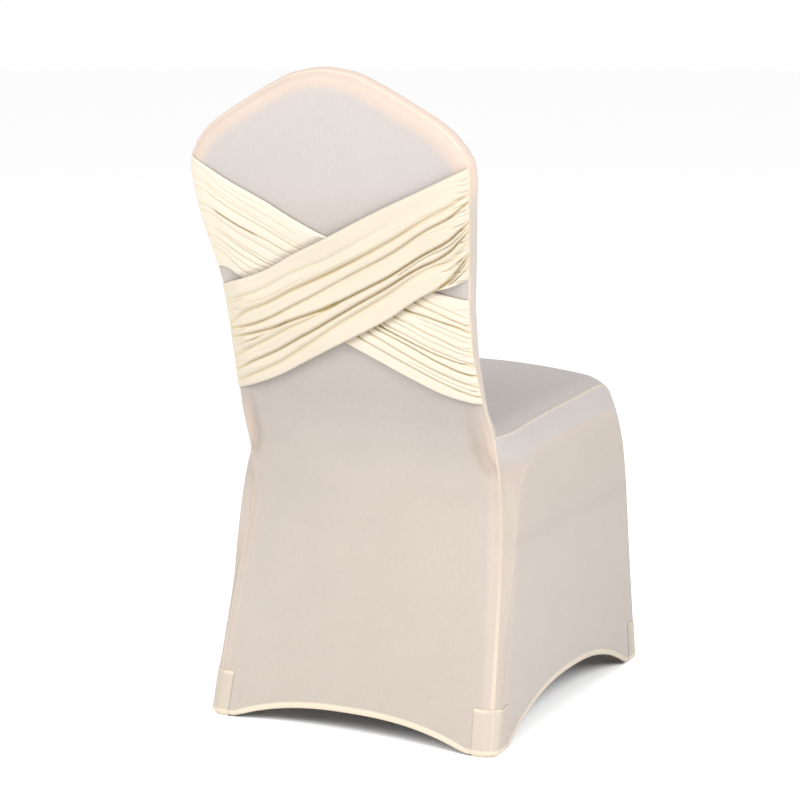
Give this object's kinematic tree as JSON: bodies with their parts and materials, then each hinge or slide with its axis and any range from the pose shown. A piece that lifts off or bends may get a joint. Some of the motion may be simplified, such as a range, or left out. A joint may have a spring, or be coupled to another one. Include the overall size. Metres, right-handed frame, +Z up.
{
  "type": "fitted stretch chair cover with crossed back bands",
  "caption": "Hollow fitted stretch cover for a banquet chair, with foot pockets, arched hems and gathered bands crossed over its back.",
  "frame": {"origin": "middle of the cover's plan, on the floor that its foot pockets stand on", "axes": "+Z up; the sitter faces -Y, so the crossed bands are on the +Y side; +X is the sitter's left"},
  "size_m": [0.4676, 0.639, 0.9506],
  "materials": {
    "panel_cloth": "smooth stretch knit, slightly sheer, ivory",
    "band_cloth": "smooth stretch knit in gathered folds, cream",
    "pocket_cloth": "doubled stretch knit, cream"
  },
  "bodies": {
    "root": {"back_panel": "panel_cloth", "front_panel": "panel_cloth", "side_panel_left": "panel_cloth", "side_panel_right": "panel_cloth", "foot_pocket_rear_left": "pocket_cloth", "foot_pocket_rear_right": "pocket_cloth", "foot_pocket_front_left": "pocket_cloth", "foot_pocket_front_right": "pocket_cloth", "band_over": "band_cloth", "band_under": "band_cloth"}
  },
  "joints": []
}
